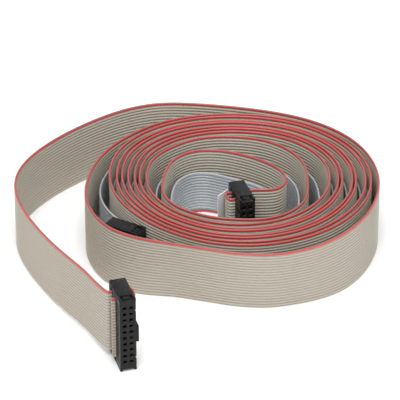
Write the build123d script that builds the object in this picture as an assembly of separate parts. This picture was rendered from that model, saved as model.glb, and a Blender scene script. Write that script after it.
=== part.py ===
"""A coiled pair of flat ribbon leads with their sockets, standing on edge.

Two ribbons are wound together: a twenty way one, with a socket at each end, and a fourteen way one
inside its turns. Millimetres, +Z up. The ribbons' lower edges stand on z = 0, and the origin is
below the middle of the whole bundle. Routes are given from the coil's centre.
"""

import math
import os

from build123d import *

# Ribbon: insulated conductors side by side, on edge.
PITCH = 1.27  # from one conductor to the next
THICK = 0.88  # across one conductor
WIDE_WAYS = 20
NARROW_WAYS = 14

# Where the coil's centre lies, so that the bundle's box is centred on the origin.
COIL_X, COIL_Y = 14.1, 14.79

# The wide ribbon's close turns: its radius at the start of the first turn and what each turn adds,
# every 45 degrees from the +X side. The narrow ribbon lies midway between two of these turns.
START_RADIUS = (31.4, 34.5, 33.75, 33.55, 29.85, 27.5, 26.75, 28.6)
TURN_GROWTH = (2.67, 2.40, 2.33, 2.51, 2.30, 2.03, 2.43, 2.57)
POINTS_A_TURN = 16
FIRST_TURN, WIDE_LAST, NARROW_LAST = 1.375, 8.375, 7.375  # in turns from the +X side
FIRST_COILED = 17  # points in the narrow ribbon's first turn of the coil
# The turns wander: a wave that isn't in step from turn to turn brings them together in uneven pairs.
WANDER = 0.45  # waves in a turn
TIGHTEST = 2.03  # from one of the wide ribbon's turns to the next, with the narrow one between
EASE = 1.5  # turns over which the wander starts and stops
OUTSET = 1 / math.cos(math.pi / POINTS_A_TURN)  # a rounded corner passes inside its point

# Loose stretches.
WIDE_INNER = (
    (9.3, -9.8), (13.0, -9.9), (17.4, -8.6), (19.9, -4.0), (19.6, 2.4), (17.0, 9.0), (11.8, 15.8),
    (4.0, 21.0), (-5.4, 24.6), (-15.6, 24.4), (-23.2, 18.2), (-26.4, 9.0), (-27.6, -0.4),
    (-27.2, -8.8), (-23.8, -16.0), (-17.4, -21.8), (-9.0, -25.9), (0.2, -27.6), (9.6, -27.7),
    (17.6, -25.0), (24.0, -19.0), (27.4, -12.2), (28.3, -4.4), (28.3, 4.4), (27.6, 13.8),
    (23.6, 22.6), (17.4, 29.4), (9.4, 33.8), (-0.2, 35.4), (-10.0, 35.0), (-19.0, 31.6),
)
WIDE_OUTER = (
    (-45.6, 31.2), (-52.4, 18.6), (-56.0, 4.8), (-57.0, -9.4), (-53.8, -22.8), (-47.2, -34.0),
    (-36.2, -41.0), (-24.4, -44.4), (-12.2, -48.0), (0.6, -51.8), (14.6, -52.8), (27.8, -48.4),
    (39.2, -39.8), (48.0, -28.2), (53.6, -14.6), (56.0, 0.2), (54.6, 14.8), (49.6, 28.8),
    (40.8, 40.6), (28.8, 49.6), (14.9, 55.4), (-0.4, 59.2), (-15.4, 61.6), (-28.6, 62.2),
    (-40.6, 58.4), (-51.8, 51.0), (-62.8, 41.0), (-72.8, 29.4), (-80.2, 17.2), (-83.9, 5.2),
    (-83.6, -7.0), (-80.4, -19.0), (-75.1, -31.2), (-68.8, -43.3), (-62.1, -54.8), (-55.2, -65.8),
    (-51.8, -72.8), (-49.2, -77.4), (-47.4, -80.1), (-46.2, -81.5),
)
NARROW_INNER = (
    (12.1, 3.4), (8.8, 8.2), (3.2, 13.0), (-3.6, 17.0), (-10.6, 20.0), (-17.4, 19.0),
    (-22.0, 13.2), (-23.8, 5.2), (-24.1, -3.6), (-22.6, -11.2), (-18.4, -17.8), (-12.0, -22.4),
    (-4.0, -24.9), (5.0, -25.6), (13.8, -23.4), (20.4, -17.4), (24.0, -10.6), (25.0, -3.8),
    (25.0, 3.8), (23.8, 11.4), (19.4, 19.8), (11.2, 26.8), (0.2, 30.0), (-12.2, 29.8),
    (-23.6, 23.2), (-29.0, 12.2), (-30.2, 0.2), (-27.8, -11.4), (-21.0, -21.2), (-11.2, -27.4),
    (0.4, -30.0), (12.2, -28.6), (23.4, -23.4), (30.2, -13.6), (32.9, -4.8), (32.9, 4.8),
    (31.4, 15.2), (25.6, 25.6), (14.4, 34.4), (0.6, 37.6), (-12.4, 36.0),
    (-23.4, 30.8),
)
NARROW_OUTER = (
    (-45.2, 29.6), (-50.4, 17.0), (-51.8, 5.4), (-50.8, -4.0), (-48.2, -11.8), (-45.2, -17.6),
    (-41.7, -21.3),
)

# Each loose end: how many points from its socket lie in it, how many of them on its ramp, and
# between which places along Y it climbs from the floor to its socket's middle.
ENDS = {
    "wide_inner": (24, 8, 17.0, -1.0),
    "wide_outer": (41, 8, -39.0, -76.0),
    "narrow_inner": (19, 5, 15.0, 1.0),
    "narrow_outer": (8, 7, 14.0, -15.0),
}

# Sockets: two rows of contacts on a 2.54 mm grid, pressed onto the ribbon.
GRID = 2.54
END_WALL = 2.45  # past the last contacts' cells, at each end, with the rail or the strap
RAIL_TALL, RAIL_WIDE, RAIL_FRONT = 0.75, 0.8, 0.1  # low rails beside the recess in each end of a body
SUNK = 0.3  # how far the root of a rail or nub reaches into its wall
STRAP_FRONT = 3.3  # from the mating face to where the relief's straps end
NUB_WIDE, NUB_BACK, NUB_FRONT, NUB_TALL = 2.6, 3.0, 1.5, 0.5
SOCKET_THICK = 6.1
BODY_DEEP = 6.0
COVER_DEEP = 4.08
RELIEF_DEEP = 3.1
HOLE = 1.0
HOLE_MOUTH = 1.6
MOUTH_DEEP = 0.4
SLIT = THICK + 0.04  # the gap that the ribbon is clamped in
CLAMPED = BODY_DEEP + SLIT / 2  # from the mating face to the clamped ribbon's middle
RETURNING = CLAMPED + SLIT + COVER_DEEP  # and to the middle of the ribbon under the relief
FOLD_RADIUS = 2.4
STUB_OUT = 1.3  # how far the ribbon's cut end stands out
COMB_SLOT = 0.55
COMB_DEEP = 0.3
COMB_LONG = 4.6
KEY_TALL, KEY_OUT, KEY_LONG = 6.7, 1.0, 5.6
NOTCH = 1.0
LATCH_TALL = 1.6
CONTACT_THICK, CONTACT_WIDE, TINE_GAP = 0.25, 0.8, 0.3

# Each socket: its ways, the middle of its mating face, its turn about Z, the side that the ribbon
# comes in on, and how far out the folded ribbon's middle stands, or None without a strain relief.
SOCKETS = {
    "socket_a": (WIDE_WAYS, (-38.65, -91.2), 16.6, -1, 1.5),
    "socket_b": (WIDE_WAYS, (4.9, -22.1), 16.6, 1, 2.35),
    "socket_c": (NARROW_WAYS, (-34.8, -32.0), 58.5, 1, 1.55),
    "socket_d": (NARROW_WAYS, (5.65, -4.15), -90.0, -1, None),
}

FILM_THICK, FILM_LOW, FILM_HIGH = 0.25, 3.0, 27.0
FILM_ROUTE = ((-2.6, -8.9), (-3.7, -10.6), (-5.1, -12.2), (-6.2, -13.8))


def around(values, turn):
    """A smooth value at a place in a turn, from values spaced evenly round it."""
    place = (turn % 1) * len(values)
    share = place % 1
    a, b, c, d = (values[(int(place) + k) % len(values)] for k in (-1, 0, 1, 2))
    return b + share * (c - a + share * (2 * a - 5 * b + 4 * c - d + share * (3 * (b - c) + d - a))) / 2


def turn_radius(turn):
    """The wide ribbon's radius: what each turn adds, and a wander where the turns have room."""
    growth = around(TURN_GROWTH, turn)
    settled = max(min((turn - FIRST_TURN) / EASE, (WIDE_LAST - turn) / EASE, 1), 0)
    room = settled * max(growth - TIGHTEST, 0) / 2
    return around(START_RADIUS, turn) + growth * turn + room * math.sin(math.tau * WANDER * turn)


def close_turns(last, beside):
    """Points of the close turns, outwards and anticlockwise, midway between a turn and one beside it."""
    points = []
    for k in range(round((last - FIRST_TURN) * POINTS_A_TURN)):
        turn = FIRST_TURN + (k + 0.5) / POINTS_A_TURN
        radius = (turn_radius(turn) + turn_radius(turn + beside)) / 2
        angle = math.tau * turn
        points.append((OUTSET * radius * math.cos(angle), OUTSET * radius * math.sin(angle)))
    return points


def corner_radii(points):
    """The largest tangent arcs that two neighbouring runs allow."""
    radii = []
    for before, here, after in zip(points, points[1:], points[2:]):
        run_in, run_out = Vector(*here) - Vector(*before), Vector(*after) - Vector(*here)
        half_turn = math.radians(run_in.get_angle(run_out) / 2)
        radii.append(0.45 * min(run_in.length, run_out.length) / math.tan(half_turn))
    return radii


def side_line(points, radii, offset):
    """The line that runs offset to the left of a rounded route."""
    vectors = [Vector(*p) for p in points]
    headings = [(b - a).normalized() for a, b in zip(vectors, vectors[1:])]
    left = [Vector(-h.Y, h.X) for h in headings]
    corners, rounded = [vectors[0] + left[0] * offset], []
    for i, radius in enumerate(radii, start=1):
        middle = (left[i - 1] + left[i]).normalized()
        corners.append(vectors[i] + middle * (offset / middle.dot(left[i])))
        turns_left = headings[i - 1].cross(headings[i]).Z > 0
        rounded.append(radius - offset if turns_left else radius + offset)
    corners.append(vectors[-1] + left[-1] * offset)
    return FilletPolyline(*corners, radius=rounded) if rounded else Line(*corners)


def strip_face(points, radii, thick=THICK):
    """A ribbon's outline from above: its route, as thick as one conductor."""
    sides = [side_line(points, radii, offset) for offset in (thick / 2, -thick / 2)]
    ends = [Line(sides[0] @ end, sides[1] @ end) for end in (0, 1)]
    return make_face(Curve() + sides + ends)


def halfway(a, b):
    return ((a[0] + b[0]) / 2, (a[1] + b[1]) / 2)


def stretch(points, low, high):
    """A route's points from low up to high, and their radii. A cut falls in the middle of a run."""
    radii = corner_radii(points)
    piece, arcs = list(points[low:high]), radii[max(low - 1, 0) : high - 1]
    if low > 0:
        piece.insert(0, halfway(points[low - 1], points[low]))
    if high < len(points):
        piece.append(halfway(points[high - 1], points[high]))
    return piece, arcs


def ramp_slab(low, high, start, stop, climb):
    """Everything between two heights that climb together along a ramp in Y."""
    far = math.copysign(200, stop - start)
    outline = [(-far, low), (start, low), (stop, low + climb), (far, low + climb)]
    outline += [(y, z + high - low) for y, z in reversed(outline)]
    return extrude(make_face(Plane.YZ * Polyline(*outline, close=True)), amount=200, both=True)


def loose_end(ways, route, end):
    """A ribbon's end as grey insulation and a red edge conductor, level and then up its ramp.

    The route here starts at the socket.
    """
    width = ways * PITCH
    climb = (socket_length(ways) - width) / 2
    points_in, on_ramp, start, stop = ENDS[end]
    climbing = strip_face(*stretch(route[: on_ramp + 1], 0, on_ramp))
    level = strip_face(*stretch(route[: points_in + 1], on_ramp, points_in))
    made = {}
    for colour, (low, high) in edge_heights(ways, 0).items():
        ramp = extrude(climbing, amount=width + climb) & ramp_slab(low, high, start, stop, climb)
        made[colour] = ramp + Pos(0, 0, low) * extrude(level, amount=high - low)
    return made


def edge_heights(ways, bottom):
    """The heights of a ribbon's grey and red conductors: the wide one's red edge is uppermost."""
    top = bottom + ways * PITCH
    if ways == WIDE_WAYS:
        return {"grey": (bottom, top - PITCH), "red": (top - PITCH, top)}
    return {"grey": (bottom + PITCH, top), "red": (bottom, bottom + PITCH)}


def coil_solid(wide, narrow):
    """The coil's outer shape: from the narrow ribbon's first turn to the wide one's last."""
    last = len(wide) - ENDS["wide_outer"][0]
    first = ENDS["narrow_inner"][0]
    outer = side_line(*stretch(wide, last - POINTS_A_TURN, last), -THICK / 2)
    inner = side_line(*stretch(narrow, first, first + FIRST_COILED), THICK / 2)
    faces = [make_face(Curve() + [line, Line(line @ 1, line @ 0)]) for line in (outer, inner)]
    return extrude(faces[0] - faces[1], amount=WIDE_WAYS * PITCH)


def socket_length(ways):
    return GRID * ways / 2 + 2 * END_WALL


def socket_point(name, across, deep):
    """A place in a socket, seen from above."""
    _, (x, y), turn, _, _ = SOCKETS[name]
    turn = math.radians(turn)
    return (
        x + across * math.cos(turn) - deep * math.sin(turn),
        y + across * math.sin(turn) + deep * math.cos(turn),
    )


def entry(name):
    """Where the loose ribbon meets a socket's side."""
    _, _, _, side, fold = SOCKETS[name]
    return socket_point(name, side * SOCKET_THICK / 2, RETURNING if fold else CLAMPED)


def box(low, high):
    """A box between two corners."""
    size = [b - a for a, b in zip(low, high)]
    return Pos(*[(a + b) / 2 for a, b in zip(low, high)]) * Box(*size)


def cells(ways):
    """The middles of the contact cells, across and up."""
    rows = ways // 2
    return [(x * GRID / 2, GRID * (k - (rows - 1) / 2)) for k in range(rows) for x in (-1, 1)]


def conductor_heights(ways):
    return [PITCH * (k - (ways - 1) / 2) for k in range(ways)]


def socket_body(ways):
    """The moulding: mating face at y = 0, contact cells right through it, key on the +x side."""
    half, long = SOCKET_THICK / 2, socket_length(ways)
    end_face = long / 2 - RAIL_TALL
    body = box((-half, 0, -end_face), (half, BODY_DEEP, end_face))
    body = chamfer(body.faces().sort_by(Axis.Y)[0].edges(), 0.25)
    for end in (-1, 1):
        bottom, top = sorted((end * (end_face - SUNK), end * long / 2))
        for low, high in ((-half, RAIL_WIDE - half), (half - RAIL_WIDE, half)):
            body += box((low, RAIL_FRONT, bottom), (high, STRAP_FRONT, top))
        bottom, top = sorted((end * (end_face - SUNK), end * (end_face + NUB_TALL)))
        body += box((-NUB_WIDE / 2, NUB_FRONT, bottom), (NUB_WIDE / 2, NUB_BACK, top))
    body += box((half - 0.1, 0.3, -KEY_TALL / 2), (half + KEY_OUT, KEY_LONG, KEY_TALL / 2))
    cuts = []
    for x, z in cells(ways):
        cuts.append(box((x - HOLE / 2, -1, z - HOLE / 2), (x + HOLE / 2, BODY_DEEP + 1, z + HOLE / 2)))
        cuts.append(loft([
            Plane((x, y, z), x_dir=(1, 0, 0), z_dir=(0, 1, 0)) * Rectangle(size, size)
            for y, size in ((-0.01, HOLE_MOUTH), (MOUTH_DEEP, HOLE))
        ]))
    for end in (-1, 1):
        z = end * (long / 2 - 2 * GRID)
        cuts.append(box((half - 0.5, -1, z - NOTCH / 2), (half + 1, 1.6, z + NOTCH / 2)))
    for z in conductor_heights(ways):
        for low, high in ((half - COMB_DEEP, half + 0.01), (-half - 0.01, COMB_DEEP - half)):
            if abs(z) > KEY_TALL / 2 + COMB_SLOT or high < 0:
                cuts.append(box(
                    (low, BODY_DEEP - COMB_LONG, z - COMB_SLOT / 2),
                    (high, BODY_DEEP + 1, z + COMB_SLOT / 2),
                ))
    return body - cuts


def socket_cover(ways):
    """The bar pressed onto the ribbon, with a foot at each end that rests on the body."""
    half, end_face = SOCKET_THICK / 2, socket_length(ways) / 2 - RAIL_TALL
    low = BODY_DEEP + SLIT
    cover = box((-half, low, -end_face), (half, low + COVER_DEEP, end_face))
    cover = chamfer(cover.faces().sort_by(Axis.Y)[-1].edges().filter_by(Axis.Z), 0.5)
    for end in (-1, 1):
        heights = sorted((end * end_face, end * (end_face - LATCH_TALL)))
        cover += box((-half + 0.6, BODY_DEEP, heights[0]), (half - 0.6, low + 0.1, heights[1]))
    cuts = [
        box((-half - 1, low - 1, z - COMB_SLOT / 2), (half + 1, low + 0.25, z + COMB_SLOT / 2))
        for z in conductor_heights(ways)
    ]
    cuts += [box((x - 0.6, low - 0.5, z - 0.5), (x + 0.6, low + 1.4, z + 0.5)) for x, z in cells(ways)]
    return cover - cuts


def socket_relief(ways):
    """The bar over the returning ribbon, with a strap at each end that runs forward to the body."""
    half, long = SOCKET_THICK / 2, socket_length(ways)
    low = BODY_DEEP + SLIT + COVER_DEEP
    bar = box((-half, low + SLIT, -long / 2), (half, low + SLIT + RELIEF_DEEP, long / 2))
    bar = chamfer(bar.faces().sort_by(Axis.Y)[-1].edges(), 0.45)
    for end in (-1, 1):
        heights = sorted((end * long / 2, end * (long / 2 - RAIL_TALL)))
        bar += box((-half, STRAP_FRONT, heights[0]), (half, low + SLIT + 0.1, heights[1]))
    return bar


def socket_contacts(ways):
    """Stamped contacts: a spring blade in each cell and two tines through the insulation."""
    pieces = []
    for x, z in cells(ways):
        side = math.copysign(1, x)
        wall = x + side * (HOLE / 2 - CONTACT_THICK / 2)
        thick = (wall - CONTACT_THICK / 2, wall + CONTACT_THICK / 2)
        blade = box((thick[0], 1.2, z - CONTACT_WIDE / 2), (thick[1], BODY_DEEP, z + CONTACT_WIDE / 2))
        for end in (-1, 1):
            root, tip = sorted((end * TINE_GAP / 2, end * CONTACT_WIDE / 2))
            low, high = (thick[0], BODY_DEEP - 0.2, z + root), (thick[1], BODY_DEEP + SLIT + 0.9, z + tip)
            blade += box(low, high)
        pieces.append(blade)
    return pieces


def socket_ribbon(ways, side, fold, contacts):
    """The clamped ribbon: in under the relief, round the far side and back, with tines through it."""
    half = SOCKET_THICK / 2
    route, arcs = [(side * half, CLAMPED), (-side * half, CLAMPED)], []
    if fold:
        out = -side * (half + fold)
        route = [(side * half, RETURNING), (out, RETURNING), (out, CLAMPED)]
        route.append((side * (half + STUB_OUT), CLAMPED))
        arcs = [min(FOLD_RADIUS, fold)] * 2
    face = strip_face(route, arcs)
    return {
        f"ribbon_{colour}": Pos(0, 0, low) * extrude(face, amount=high - low) - contacts
        for colour, (low, high) in edge_heights(ways, -ways * PITCH / 2).items()
    }


def socket(name):
    """One socket's pieces, standing on its end at its place in the bundle."""
    ways, middle, turn, side, fold = SOCKETS[name]
    contacts = socket_contacts(ways)
    pieces = {
        "body": Rot(0, 0 if side < 0 else 180, 0) * socket_body(ways),
        "cover": socket_cover(ways),
        "contacts": Compound(children=contacts),
    }
    if fold:
        pieces["strain_relief"] = socket_relief(ways)
    pieces |= socket_ribbon(ways, side, fold, contacts)
    place = Pos(*middle, socket_length(ways) / 2) * Rot(0, 0, turn)
    return {f"{name}_{piece}": place * solid for piece, solid in pieces.items()}


def marker_film():
    """A short strip of clear film beside the middle socket."""
    face = strip_face(FILM_ROUTE, corner_radii(FILM_ROUTE), FILM_THICK)
    return Pos(0, 0, FILM_LOW) * extrude(face, amount=FILM_HIGH - FILM_LOW)


wide_turns = close_turns(WIDE_LAST, 0)
narrow_turns = close_turns(NARROW_LAST, 1)
wide = [entry("socket_b"), *WIDE_INNER, *wide_turns, *WIDE_OUTER, entry("socket_a")]
narrow = [entry("socket_d"), *NARROW_INNER, *narrow_turns, *NARROW_OUTER, entry("socket_c")]

nodes = {"ribbon_coil": coil_solid(wide, narrow)}
for socket_name in SOCKETS:
    nodes |= socket(socket_name)
loose_ends = (
    ("wide_inner", WIDE_WAYS, wide, "socket_b"),
    ("wide_outer", WIDE_WAYS, wide[::-1], "socket_a"),
    ("narrow_inner", NARROW_WAYS, narrow, "socket_d"),
    ("narrow_outer", NARROW_WAYS, narrow[::-1], "socket_c"),
)
for end, ways, route, socket_name in loose_ends:
    for colour, solid in loose_end(ways, route, end).items():
        clamped = nodes[f"{socket_name}_ribbon_{colour}"]
        nodes[f"{end}_end_{colour}"] = solid - clamped - nodes["ribbon_coil"]
nodes["marker_film"] = marker_film()

os.makedirs("parts", exist_ok=True)
centring = Pos(COIL_X, COIL_Y, 0)
for node, solid in nodes.items():
    export_step(centring * solid, f"parts/{node}.step")

bounds = Compound([centring * solid for solid in nodes.values()]).bounding_box()
print("box", bounds.min, bounds.max)
for name, ways, route in (("wide", WIDE_WAYS, wide), ("narrow", NARROW_WAYS, narrow)):
    radii = corner_radii(route)
    length = FilletPolyline(*route, radius=radii).length
    print(name, "ribbon", round(length), "mm long, smallest radii", sorted(round(r, 1) for r in radii)[:8])
for end, ways, route, _ in loose_ends:
    points, radii = stretch(route[: ENDS[end][0] + 1], 0, ENDS[end][0])
    expected = THICK * ways * PITCH * FilletPolyline(*points, radius=radii).length
    volume = sum(nodes[f"{end}_end_{colour}"].volume for colour in ("grey", "red"))
    print(end, "end's volume", round(volume), "and its section times its length", round(expected))
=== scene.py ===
import math

import bpy
import numpy as np
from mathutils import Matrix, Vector


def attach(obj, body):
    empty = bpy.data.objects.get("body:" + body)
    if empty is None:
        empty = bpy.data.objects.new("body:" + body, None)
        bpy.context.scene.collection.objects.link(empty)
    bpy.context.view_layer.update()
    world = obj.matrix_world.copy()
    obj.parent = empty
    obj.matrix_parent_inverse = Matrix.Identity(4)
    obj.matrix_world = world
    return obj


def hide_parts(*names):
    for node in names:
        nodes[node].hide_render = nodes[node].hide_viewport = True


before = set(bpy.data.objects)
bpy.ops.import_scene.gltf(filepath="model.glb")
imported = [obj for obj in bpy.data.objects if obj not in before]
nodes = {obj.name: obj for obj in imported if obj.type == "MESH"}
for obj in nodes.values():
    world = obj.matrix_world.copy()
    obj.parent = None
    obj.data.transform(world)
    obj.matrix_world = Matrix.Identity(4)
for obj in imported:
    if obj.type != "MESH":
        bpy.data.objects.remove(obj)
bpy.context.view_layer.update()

MM = 0.001
COIL_X, COIL_Y = 14.1, 14.79  # the coil's centre in the frame, in mm

# ---------------------------------------------------------------- camera

VIEW_FROM = Vector((-13.0 + COIL_X, -946.6 + COIL_Y, 585.7)) * MM
VIEW_TILT = 59.0  # degrees up from looking straight down
LENS, SENSOR = 258.4, 36  # in mm
FARTHEST = 20  # that the camera sees, in metres

camera = bpy.data.objects.new("camera", bpy.data.cameras.new("camera"))
bpy.context.scene.collection.objects.link(camera)
camera.location = VIEW_FROM
camera.rotation_euler = (math.radians(VIEW_TILT), 0, 0)
camera.data.sensor_width = SENSOR
camera.data.lens = LENS
camera.data.clip_end = FARTHEST
bpy.context.scene.camera = camera

# ---------------------------------------------------------------- routes of the two ribbons, in mm

PITCH = 1.27  # from one conductor to the next
WIDE_WAYS, NARROW_WAYS = 20, 14

# The wide ribbon's close turns: its radius at the start of the first turn and what each turn adds,
# every 45 degrees from the +X side. The narrow ribbon lies midway between two of these turns.
START_RADIUS = (31.4, 34.5, 33.75, 33.55, 29.85, 27.5, 26.75, 28.6)
TURN_GROWTH = (2.67, 2.40, 2.33, 2.51, 2.30, 2.03, 2.43, 2.57)
POINTS_A_TURN = 16
FIRST_TURN, WIDE_LAST, NARROW_LAST = 1.375, 8.375, 7.375  # in turns from the +X side
# The turns wander: a wave that isn't in step from turn to turn brings them together in uneven pairs.
WANDER = 0.45  # waves in a turn
TIGHTEST = 2.03  # from one of the wide ribbon's turns to the next, with the narrow one between
EASE = 1.5  # turns over which the wander starts and stops
# Above the narrow ribbon, the wide one's turns have room to wander further.
EDGE_BEND = 0.32  # by how much, at the upper edge
BEND_STARTS, BEND_STOPS = 16.0, 24.5  # the heights between which it grows
OUTSET = 1 / math.cos(math.pi / POINTS_A_TURN)  # a rounded corner passes inside its point

# The loose stretches, from the coil's centre: out from the inner sockets to the close turns, and out
# from the close turns to the outer sockets.
WIDE_INNER = (
    (9.3, -9.8), (13.0, -9.9), (17.4, -8.6), (19.9, -4.0), (19.6, 2.4), (17.0, 9.0), (11.8, 15.8),
    (4.0, 21.0), (-5.4, 24.6), (-15.6, 24.4), (-23.2, 18.2), (-26.4, 9.0), (-27.6, -0.4),
    (-27.2, -8.8), (-23.8, -16.0), (-17.4, -21.8), (-9.0, -25.9), (0.2, -27.6), (9.6, -27.7),
    (17.6, -25.0), (24.0, -19.0), (27.4, -12.2), (28.3, -4.4), (28.3, 4.4), (27.6, 13.8),
    (23.6, 22.6), (17.4, 29.4), (9.4, 33.8), (-0.2, 35.4), (-10.0, 35.0), (-19.0, 31.6),
)
WIDE_OUTER = (
    (-45.6, 31.2), (-52.4, 18.6), (-56.0, 4.8), (-57.0, -9.4), (-53.8, -22.8), (-47.2, -34.0),
    (-36.2, -41.0), (-24.4, -44.4), (-12.2, -48.0), (0.6, -51.8), (14.6, -52.8), (27.8, -48.4),
    (39.2, -39.8), (48.0, -28.2), (53.6, -14.6), (56.0, 0.2), (54.6, 14.8), (49.6, 28.8),
    (40.8, 40.6), (28.8, 49.6), (14.9, 55.4), (-0.4, 59.2), (-15.4, 61.6), (-28.6, 62.2),
    (-40.6, 58.4), (-51.8, 51.0), (-62.8, 41.0), (-72.8, 29.4), (-80.2, 17.2), (-83.9, 5.2),
    (-83.6, -7.0), (-80.4, -19.0), (-75.1, -31.2), (-68.8, -43.3), (-62.1, -54.8), (-55.2, -65.8),
    (-51.8, -72.8), (-49.2, -77.4), (-47.4, -80.1), (-46.2, -81.5),
)
NARROW_INNER = (
    (12.1, 3.4), (8.8, 8.2), (3.2, 13.0), (-3.6, 17.0), (-10.6, 20.0), (-17.4, 19.0),
    (-22.0, 13.2), (-23.8, 5.2), (-24.1, -3.6), (-22.6, -11.2), (-18.4, -17.8), (-12.0, -22.4),
    (-4.0, -24.9), (5.0, -25.6), (13.8, -23.4), (20.4, -17.4), (24.0, -10.6), (25.0, -3.8),
    (25.0, 3.8), (23.8, 11.4), (19.4, 19.8), (11.2, 26.8), (0.2, 30.0), (-12.2, 29.8),
    (-23.6, 23.2), (-29.0, 12.2), (-30.2, 0.2), (-27.8, -11.4), (-21.0, -21.2), (-11.2, -27.4),
    (0.4, -30.0), (12.2, -28.6), (23.4, -23.4), (30.2, -13.6), (32.9, -4.8), (32.9, 4.8),
    (31.4, 15.2), (25.6, 25.6), (14.4, 34.4), (0.6, 37.6), (-12.4, 36.0), (-23.4, 30.8),
)
NARROW_OUTER = (
    (-45.2, 29.6), (-50.4, 17.0), (-51.8, 5.4), (-50.8, -4.0), (-48.2, -11.8), (-45.2, -17.6),
    (-41.7, -21.3),
)

# Each socket: its ways, the middle of its mating face, its turn about Z, the side that the ribbon
# comes in on, and how far out the folded ribbon's middle stands, or None without a strain relief.
SOCKETS = {
    "socket_a": (WIDE_WAYS, (-38.65, -91.2), 16.6, -1, 1.5),
    "socket_b": (WIDE_WAYS, (4.9, -22.1), 16.6, 1, 2.35),
    "socket_c": (NARROW_WAYS, (-34.8, -32.0), 58.5, 1, 1.55),
    "socket_d": (NARROW_WAYS, (5.65, -4.15), -90.0, -1, None),
}
SOCKET_HALF = 3.05  # half a socket's thickness
CLAMPED, RETURNING = 6.46, 11.46  # from the mating face to the clamped ribbon and to its way back
STUB_OUT = 1.3  # how far the ribbon's cut end stands out
SOCKET_CLIMB = 2.45  # from the floor to the ribbon's lower edge inside a socket
# At each socket: how many points lie between the ribbon's cut end and the floor, and between which
# places along Y the ribbon climbs from the floor.
RAMPS = {
    "socket_a": (15, -39.0, -76.0),
    "socket_b": (15, 17.0, -1.0),
    "socket_c": (14, 14.0, -15.0),
    "socket_d": (7, 15.0, 1.0),
}
ROUTE_STEPS = 7  # points along the smooth line for each point of a route


def around(values, turn):
    """A smooth value at a place in a turn, from values spaced evenly round it."""
    place = (turn % 1) * len(values)
    share = place % 1
    a, b, c, d = (values[(int(place) + k) % len(values)] for k in (-1, 0, 1, 2))
    return b + share * (c - a + share * (2 * a - 5 * b + 4 * c - d + share * (3 * (b - c) + d - a))) / 2


def turn_radius(turn, bend):
    """The wide ribbon's radius: what each turn adds, and a wander where there is room or it bends."""
    growth = around(TURN_GROWTH, turn)
    settled = max(min((turn - FIRST_TURN) / EASE, (WIDE_LAST - turn) / EASE, 1), 0)
    room = settled * (max(growth - TIGHTEST, 0) / 2 + bend)
    return around(START_RADIUS, turn) + growth * turn + room * math.sin(math.tau * WANDER * turn)


def close_turns(last, beside, bend=0):
    """Points of the close turns, outwards and anticlockwise, midway between a turn and one beside it."""
    points = []
    for k in range(round((last - FIRST_TURN) * POINTS_A_TURN)):
        turn = FIRST_TURN + (k + 0.5) / POINTS_A_TURN
        radius = (turn_radius(turn, bend) + turn_radius(turn + beside, bend)) / 2
        angle = math.tau * turn
        points.append((OUTSET * radius * math.cos(angle), OUTSET * radius * math.sin(angle)))
    return points


def socket_point(name, across, deep):
    """A place in a socket, seen from above."""
    _, (x, y), turn, _, _ = SOCKETS[name]
    turn = math.radians(turn)
    return (
        x + across * math.cos(turn) - deep * math.sin(turn),
        y + across * math.sin(turn) + deep * math.cos(turn),
    )


def through_socket(name):
    """A ribbon's points from its cut end, through the clamp and round the fold, to the socket's side."""
    _, _, _, side, fold = SOCKETS[name]
    half = side * SOCKET_HALF
    if fold is None:
        return [socket_point(name, across, CLAMPED) for across in (-half, 0, half)]
    out = -side * (SOCKET_HALF + fold)
    places = [(half + side * STUB_OUT, CLAMPED), (0, CLAMPED), (-half, CLAMPED), (out, CLAMPED)]
    places += [(out, RETURNING), (-half, RETURNING), (0, RETURNING), (half, RETURNING)]
    return [socket_point(name, across, deep) for across, deep in places]


def loose_end(name, stretch):
    """A ribbon's points with their heights: from its cut end in a socket, along a loose stretch."""
    count, start, stop = RAMPS[name]
    lifted = []
    for k, (x, y) in enumerate([*through_socket(name), *stretch]):
        share = min(max((y - start) / (stop - start), 0), 1) if k < count else 0
        lifted.append((x, y, SOCKET_CLIMB * share))
    return lifted


def on_floor(points):
    return [(x, y, 0) for x, y in points]


wide_start = loose_end("socket_b", WIDE_INNER)
wide_end = loose_end("socket_a", WIDE_OUTER[::-1])[::-1]
narrow_start = loose_end("socket_d", NARROW_INNER)
narrow_end = loose_end("socket_c", NARROW_OUTER[::-1])[::-1]
wide_route = wide_start + on_floor(close_turns(WIDE_LAST, beside=0)) + wide_end
wide_edge_route = wide_start + on_floor(close_turns(WIDE_LAST, beside=0, bend=EDGE_BEND)) + wide_end
narrow_route = narrow_start + on_floor(close_turns(NARROW_LAST, beside=1)) + narrow_end


def smooth_line(name, points):
    """The points along a NURBS spline through a route's control points, in the frame, in metres."""
    curve = bpy.data.curves.new(name, "CURVE")
    curve.dimensions = "3D"
    curve.resolution_u = ROUTE_STEPS
    spline = curve.splines.new("NURBS")
    spline.points.add(len(points) - 1)
    for point, (x, y, z) in zip(spline.points, points):
        point.co = ((x + COIL_X) * MM, (y + COIL_Y) * MM, z * MM, 1)
    spline.order_u = 3
    spline.use_endpoint_u = True
    holder = bpy.data.objects.new(name, curve)
    line = bpy.data.meshes.new_from_object(holder)
    path = np.array([v.co for v in line.vertices])
    bpy.data.objects.remove(holder)
    bpy.data.meshes.remove(line)
    bpy.data.curves.remove(curve)
    return path


# The coil leans out at its front.
TUCK = 3.2  # how far its lower edge lies in from its upper one, in mm
TUCK_STARTS, TUCK_STOPS = (218, 245), (290, 322)  # degrees round the coil
TUCK_NEAR, TUCK_FAR = (20, 31), (58, 64)  # mm from the coil's centre


def eased_step(values, low, high):
    """From 0 at the low end to 1 at the high one, with a soft start and stop."""
    share = np.clip((values - low) / (high - low), 0, 1)
    return share * share * (3 - 2 * share)


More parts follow.
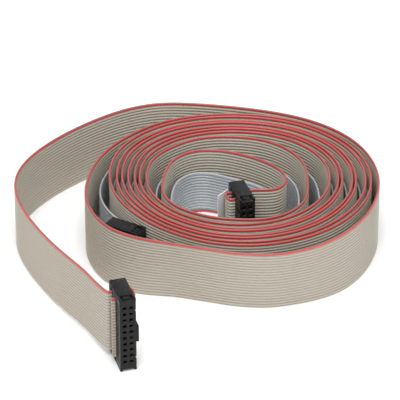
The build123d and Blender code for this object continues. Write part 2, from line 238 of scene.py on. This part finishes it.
def rising(line):
    """The way up across a ribbon at each place on its line: straight, or leaning out at the front."""
    x, y = line[:, 0] / MM - COIL_X, line[:, 1] / MM - COIL_Y
    distance, angle = np.hypot(x, y), np.degrees(np.arctan2(y, x)) % 360
    share = eased_step(angle, *TUCK_STARTS) * (1 - eased_step(angle, *TUCK_STOPS))
    share = share * eased_step(distance, *TUCK_NEAR) * (1 - eased_step(distance, *TUCK_FAR))
    lean = TUCK * share / (WIDE_WAYS * PITCH * distance)
    return np.stack([x * lean, y * lean, np.ones(len(line))], axis=1)


# ---------------------------------------------------------------- shader nodes as expressions

class Value:
    """A number that changes over a surface, with Python's arithmetic."""

    def __init__(self, finish, socket):
        self.finish, self.socket = finish, socket

    def _with(self, operation, *values):
        made = self.finish.node("ShaderNodeMath", {"operation": operation}, dict(enumerate(values)))
        return Value(self.finish, made.outputs[0])

    def __add__(self, other):
        return self._with("ADD", self, other)

    def __sub__(self, other):
        return self._with("SUBTRACT", self, other)

    def __rsub__(self, other):
        return self._with("SUBTRACT", other, self)

    def __mul__(self, other):
        return self._with("MULTIPLY", self, other)

    def __gt__(self, other):
        return self._with("GREATER_THAN", self, other)

    def wave(self, pitch):
        """From 0 to 1 and back in each pitch, highest halfway."""
        return self._with("PINGPONG", self * (2 / pitch), 1.0)

    __radd__, __rmul__ = __add__, __mul__


class Finish:
    """A material with one Principled shader and the nodes that feed it."""

    def __init__(self, name, **fixed):
        self.material = bpy.data.materials.new(name)
        self.material.use_nodes = True
        self.tree = self.material.node_tree
        self.shader = self.tree.nodes["Principled BSDF"]
        for socket, value in fixed.items():
            self.shader.inputs[socket.replace("_", " ")].default_value = value
        self.place = self.node("ShaderNodeTexCoord").outputs["Object"]

    def node(self, kind, settings=None, inputs=None):
        """A new node with its settings, and its inputs as values or links."""
        made = self.tree.nodes.new(kind)
        for name, value in (settings or {}).items():
            setattr(made, name, value)
        for key, value in (inputs or {}).items():
            value = getattr(value, "socket", value)
            if isinstance(value, bpy.types.NodeSocket):
                self.tree.links.new(value, made.inputs[key])
            else:
                made.inputs[key].default_value = value
        return made

    def axis(self, letter):
        """A place along X, Y or Z, in metres."""
        split = self.node("ShaderNodeSeparateXYZ", None, {"Vector": self.place})
        return Value(self, split.outputs[letter])

    def noise(self, size, detail=2.0, stretch=(1, 1, 1)):
        """Soft noise from 0 to 1 with features of about that size, in metres."""
        place = self.node("ShaderNodeMapping", None, {"Vector": self.place, "Scale": stretch})
        inputs = {"Vector": place.outputs[0], "Scale": 1 / size, "Detail": detail}
        return Value(self, self.node("ShaderNodeTexNoise", None, inputs).outputs["Fac"])

    def mix(self, share, low, high):
        """A colour between two others, each of them three numbers or another mix."""
        low, high = (
            colour if isinstance(colour, bpy.types.NodeSocket) else (*colour, 1)
            for colour in (low, high)
        )
        factor, first, second, mixed = 0, 6, 7, 2  # the colour sockets of a Mix node
        inputs = {factor: share, first: low, second: high}
        return self.node("ShaderNodeMix", {"data_type": "RGBA"}, inputs).outputs[mixed]

    def feed(self, **links):
        """What goes into the shader's inputs."""
        for name, value in links.items():
            socket = self.shader.inputs[name.replace("_", " ")]
            self.tree.links.new(getattr(value, "socket", value), socket)

    def relief(self, height, depth):
        """Bump from a height between 0 and 1 that stands for a depth in metres."""
        inputs = {"Height": height, "Distance": depth, "Strength": 1.0}
        self.feed(Normal=self.node("ShaderNodeBump", None, inputs).outputs[0])


GROOVE_PAINTED_SHADE = 0.32  # painted shade: how far the webs between the conductors are darkened towards the shade colour below
GROOVE_SHADE = 0.6  # that painted shade colour, as a share of the insulation's deeper one
# The film's dots: from one to the next in mm, and their size as shares of the waves up and across it.
DOT_PITCH = 2.2
DOT_TALL, DOT_WIDE = 0.22, 0.14


def insulation(name, pale, deep, roughness, coat):
    """Extruded soft vinyl: faint clouds, a fine grain, and slightly uneven gloss."""
    finish = Finish(name, Coat_Weight=coat, Coat_Roughness=0.22, IOR=1.5)
    clouds = finish.noise(0.03, 2.0)
    grain = finish.noise(0.0007, 3.0)
    skin = finish.mix(clouds * 0.7 + grain * 0.3, deep, pale)
    # Painted shade: the webs between the conductors are darkened by how deep they lie in the groove.
    groove = finish.node("ShaderNodeAttribute", {"attribute_name": "groove"}).outputs["Fac"]
    shade = tuple(GROOVE_SHADE * part for part in deep)
    finish.feed(
        Base_Color=finish.mix(Value(finish, groove) * GROOVE_PAINTED_SHADE, skin, shade),
        Roughness=roughness - 0.06 + clouds * 0.08 + grain * 0.06,
    )
    finish.relief(grain, 0.000006)
    return finish.material


def moulded_black():
    """Glass filled moulding compound: near black, with a fine spark eroded grain and pale scuffs."""
    finish = Finish("moulded_black", IOR=1.32)
    grain = finish.noise(0.00035, 4.0)
    scuffs = (finish.noise(0.0011, 5.0) > 0.64) * finish.noise(0.005, 2.0)
    finish.feed(
        Base_Color=finish.mix(scuffs * 0.55, (0.007, 0.007, 0.0075), (0.11, 0.11, 0.11)),
        Roughness=0.33 + grain * 0.12 + scuffs * 0.1,
    )
    finish.relief(grain, 0.00006)
    return finish.material


def contact_metal():
    """Tinned spring bronze with faint rolling lines."""
    finish = Finish("contact_metal", Metallic=1.0)
    lines = finish.noise(0.0004, 2.0, (1, 1, 8))
    finish.feed(
        Base_Color=finish.mix(lines, (0.50, 0.42, 0.28), (0.72, 0.66, 0.54)),
        Roughness=0.22 + lines * 0.16,
    )
    return finish.material


def clear_film():
    """Whitish matt film with a row of punched dots up its middle."""
    finish = Finish("clear_film", IOR=1.45)
    haze = finish.noise(0.003, 3.0)
    along = finish.axis("Z").wave(DOT_PITCH * MM)
    across = finish.axis("X").wave(2 * DOT_PITCH * MM)
    dots = (along > 1 - DOT_TALL) * (across > 1 - DOT_WIDE)
    finish.feed(
        Base_Color=finish.mix(dots, (0.92, 0.93, 0.94), (0.42, 0.42, 0.43)),
        Roughness=0.3 + haze * 0.15,
    )
    return finish.material


def bare_copper():
    """Cut ends of tinned copper strands."""
    finish = Finish("bare_copper", Metallic=1.0)
    strands = finish.noise(0.00012, 1.0)
    finish.feed(
        Base_Color=finish.mix(strands, (0.55, 0.30, 0.18), (0.82, 0.62, 0.48)),
        Roughness=0.25 + strands * 0.2,
    )
    return finish.material


BEIGE = insulation("beige_insulation", (0.50, 0.458, 0.385), (0.455, 0.415, 0.345), 0.46, 0.06)
BLUE_GREY = insulation("blue_grey_insulation", (0.46, 0.49, 0.515), (0.40, 0.43, 0.455), 0.26, 0.35)
RED = insulation("red_insulation", (0.52, 0.095, 0.085), (0.45, 0.072, 0.064), 0.38, 0.22)
BLACK = moulded_black()
METAL = contact_metal()
FILM = clear_film()
COPPER = bare_copper()

# ---------------------------------------------------------------- ribbons, with sizes in mm

RIB = 0.445  # half the thickness of a conductor
ROUND, ROUND_THICK = 0.30, 0.33  # a place on its round side
WEB_EDGE, WEB = 0.43, 0.13  # where the side meets the web, and half the web's thickness
EDGE_SIDE, EDGE_SIDE_THICK = 0.30, 0.415  # the free edge of a ribbon is rounded
EDGE, EDGE_THICK = 0.55, 0.28
EDGE_FLAT = 0.12
RED_TALL = 0.98  # the red edge stripe
CORE = 0.19  # radius of the bare strands in a conductor
CORE_CORNERS = 12
CORE_OUT, CORE_IN = 0.02, 0.3  # how far they reach out of and into a cut end
SHARP = 42  # degrees: a ribbon's corners are smooth up to here


def half_section(limit, free):
    """The upper quarter of a conductor's outline, as (across, up) points upwards from its middle."""
    if free:
        return [(EDGE_SIDE_THICK, EDGE_SIDE), (EDGE_THICK, EDGE), (EDGE_FLAT, limit)]
    web = [(WEB, WEB_EDGE)] if limit > WEB_EDGE else []
    return [(ROUND_THICK, ROUND), *web, (WEB, limit)]


def section(low, high, low_free, high_free):
    """One conductor's outline, as (across, up) points anticlockwise, from its middle."""
    lower = [(across, -up) for across, up in reversed(half_section(-low, low_free))]
    side = [*lower, (RIB, 0), *half_section(high, high_free)]
    return side + [(-across, up) for across, up in reversed(side)]


def tube(path, rise, outline):
    """Corners and faces of a closed tube along a path."""
    ahead = np.gradient(path[:, :2], axis=0)
    ahead /= np.linalg.norm(ahead, axis=1)[:, None]
    left = np.stack([-ahead[:, 1], ahead[:, 0], np.zeros(len(path))], axis=1)
    outline = np.array(outline) * MM
    corners = path[:, None] + left[:, None] * outline[None, :, :1] + rise[:, None] * outline[None, :, 1:]
    steps, around_it = len(path), len(outline)
    first = np.arange((steps - 1) * around_it).reshape(steps - 1, around_it)
    beside = np.roll(first, -1, axis=1)
    faces = np.stack([first, first + around_it, beside + around_it, beside], axis=2)
    last = (steps - 1) * around_it
    faces = faces.reshape(-1, 4).tolist()
    faces += [list(range(around_it)), list(range(last + around_it - 1, last - 1, -1))]
    return corners.reshape(-1, 3), faces


def piece_of(name, tubes, material):
    """One piece made of one or more tubes."""
    corners, faces = [], []
    for places, rings in tubes:
        faces += [[k + len(corners) for k in ring] for ring in rings]
        corners += places.tolist()
    mesh = bpy.data.meshes.new(name)
    mesh.from_pydata(corners, [], faces)
    mesh.polygons.foreach_set("use_smooth", [True] * len(mesh.polygons))
    mesh.set_sharp_from_angle(angle=math.radians(SHARP))
    mesh.materials.append(material)
    piece = bpy.data.objects.new(name, mesh)
    bpy.context.scene.collection.objects.link(piece)
    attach(piece, "root")
    return piece


def mark_grooves(piece, outline):
    """How deep each corner lies between two conductors, from 0 on a rib to 1 on the web."""
    depths = np.array([(RIB - abs(across)) / (RIB - WEB) for across, _ in outline])
    mesh = piece.data
    grooves = mesh.attributes.new("groove", "FLOAT", "POINT")
    grooves.data.foreach_set("value", np.tile(depths, len(mesh.vertices) // len(outline)))


def conductor_heights(ways):
    """How high each conductor's middle stands above the ribbon's lower edge."""
    return [(way + 0.5) * PITCH * MM for way in range(ways)]


def at_height(line, edge_line, rise, height):
    """A line raised by a height, with the upper edge of a leaning stretch where it was."""
    bent = line + (edge_line - line) * eased_step(height / MM, BEND_STARTS, BEND_STOPS)
    return bent + rise * height - (rise - [0, 0, 1]) * WIDE_WAYS * PITCH * MM


def ribbon(name, ways, red_way, route, edge_route, plain, replaced):
    """One swept tube for each insulated conductor, side by side from the lower edge up."""
    line, edge_line = smooth_line(name, route), smooth_line(name, edge_route)
    rise = rising(line)
    above_border = max(red_way, 1)  # the border between the red conductor and its neighbour is moved
    moved = (PITCH - RED_TALL) * (1 if red_way else -1)
    for way, height in enumerate(conductor_heights(ways)):
        path = at_height(line, edge_line, rise, height)
        low = -PITCH / 2 + (moved if way == above_border else 0)
        high = PITCH / 2 + (moved if way == above_border - 1 else 0)
        outline = section(low, high, way == 0, way == ways - 1)
        red = way == red_way
        conductor = f"{name}_conductor_{way + 1:02d}"
        piece = piece_of(conductor, [tube(path, rise, outline)], RED if red else plain)
        mark_grooves(piece, outline)
        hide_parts(*replaced)
    bare_ends(f"{name}_strands", line, ways)


def bare_ends(name, line, ways):
    """The strands that show in every conductor's two cut ends."""
    angles = [math.tau * k / CORE_CORNERS for k in range(CORE_CORNERS)]
    circle = [(CORE * math.cos(angle), CORE * math.sin(angle)) for angle in angles]
    up = np.array([[0, 0, 1.0]] * 2)
    tubes = []
    for end, inner in ((line[0], line[1]), (line[-1], line[-2])):
        out = (end - inner) / np.linalg.norm(end - inner)
        core = np.array([end - out * CORE_IN * MM, end + out * CORE_OUT * MM])
        tubes += [tube(core + up * height, up, circle) for height in conductor_heights(ways)]
    piece_of(name, tubes, COPPER)


def ends_of(prefix, *sockets):
    """The frame's nodes that a ribbon's loose ends and its way through its sockets are made of."""
    return [n for n in nodes if n.startswith(prefix)] + [
        f"{socket}_ribbon_{colour}" for socket in sockets for colour in ("grey", "red")
    ]


ribbon(
    "wide_ribbon", WIDE_WAYS, WIDE_WAYS - 1, wide_route, wide_edge_route, BEIGE,
    ["ribbon_coil", *ends_of("wide_", "socket_a", "socket_b")],
)
ribbon(
    "narrow_ribbon", NARROW_WAYS, 0, narrow_route, narrow_route, BLUE_GREY,
    ["ribbon_coil", *ends_of("narrow_", "socket_c", "socket_d")],
)

# ---------------------------------------------------------------- sockets

EDGE_ROUND = 0.09 * MM
EDGE_ANGLE = 35  # degrees: an edge sharper than this is rounded
JOINED = 0.001 * MM  # corners nearer than this are one


def eased(node, width):
    """Small rounded edges on a moulded piece, with the shape unchanged."""
    weld = node.modifiers.new("joined_corners", "WELD")
    weld.merge_threshold = JOINED
    bevel = node.modifiers.new("eased_edges", "BEVEL")
    bevel.width = width
    bevel.segments = 2
    bevel.limit_method = "ANGLE"
    bevel.angle_limit = math.radians(EDGE_ANGLE)
    bevel.harden_normals = True
    node.data.polygons.foreach_set("use_smooth", [True] * len(node.data.polygons))


def finished(node, material):
    """A piece from the frame, with this script's material."""
    node.data.materials.clear()
    node.data.materials.append(material)


for name, node in nodes.items():
    if name.endswith(("_body", "_cover", "_strain_relief")):
        finished(node, BLACK)
        eased(node, EDGE_ROUND)
    elif name.endswith("_contacts"):
        finished(node, METAL)
    elif name == "marker_film":
        finished(node, FILM)

# ---------------------------------------------------------------- floor and light

FLOOR_HALF, FLOOR_DROP = 4.0, 0.0002  # half its side, and how far it lies under the ribbons, in metres
LIT = Vector((0, 0, 0.01))  # what the lamps point at

floor_mesh = bpy.data.meshes.new("floor")
corners = [(x * FLOOR_HALF, y * FLOOR_HALF, 0) for x, y in ((-1, -1), (1, -1), (1, 1), (-1, 1))]
floor_mesh.from_pydata(corners, [], [(0, 1, 2, 3)])
floor = bpy.data.objects.new("floor", floor_mesh)
bpy.context.scene.collection.objects.link(floor)
floor.location.z = -FLOOR_DROP
white = Finish("white_floor", Base_Color=(0.93, 0.93, 0.93, 1), Roughness=0.9)
floor_mesh.materials.append(white.material)


def soft_box(name, place, size, power):
    """A square lamp: its side in metres and its power in watts."""
    lamp = bpy.data.lights.new(name, "AREA")
    lamp.shape = "SQUARE"
    lamp.size = size
    lamp.energy = power
    holder = bpy.data.objects.new(name, lamp)
    bpy.context.scene.collection.objects.link(holder)
    holder.location = place
    holder.rotation_euler = (LIT - Vector(place)).to_track_quat("-Z", "Y").to_euler()


soft_box("key", (-0.1, -0.8, 1.3), 0.9, 11.5)
soft_box("left", (-1.0, -0.5, 0.9), 0.8, 0.4)
soft_box("right", (1.0, -0.5, 0.9), 0.8, 0.8)
soft_box("top", (0.0, -0.1, 1.4), 1.0, 10)

world = bpy.data.worlds.new("studio")
bpy.context.scene.world = world
world.use_nodes = True
sky = world.node_tree.nodes["Background"].inputs
sky["Color"].default_value = (1, 1, 1, 1)
sky["Strength"].default_value = 0.6
bpy.context.scene.view_settings.view_transform = "Standard"
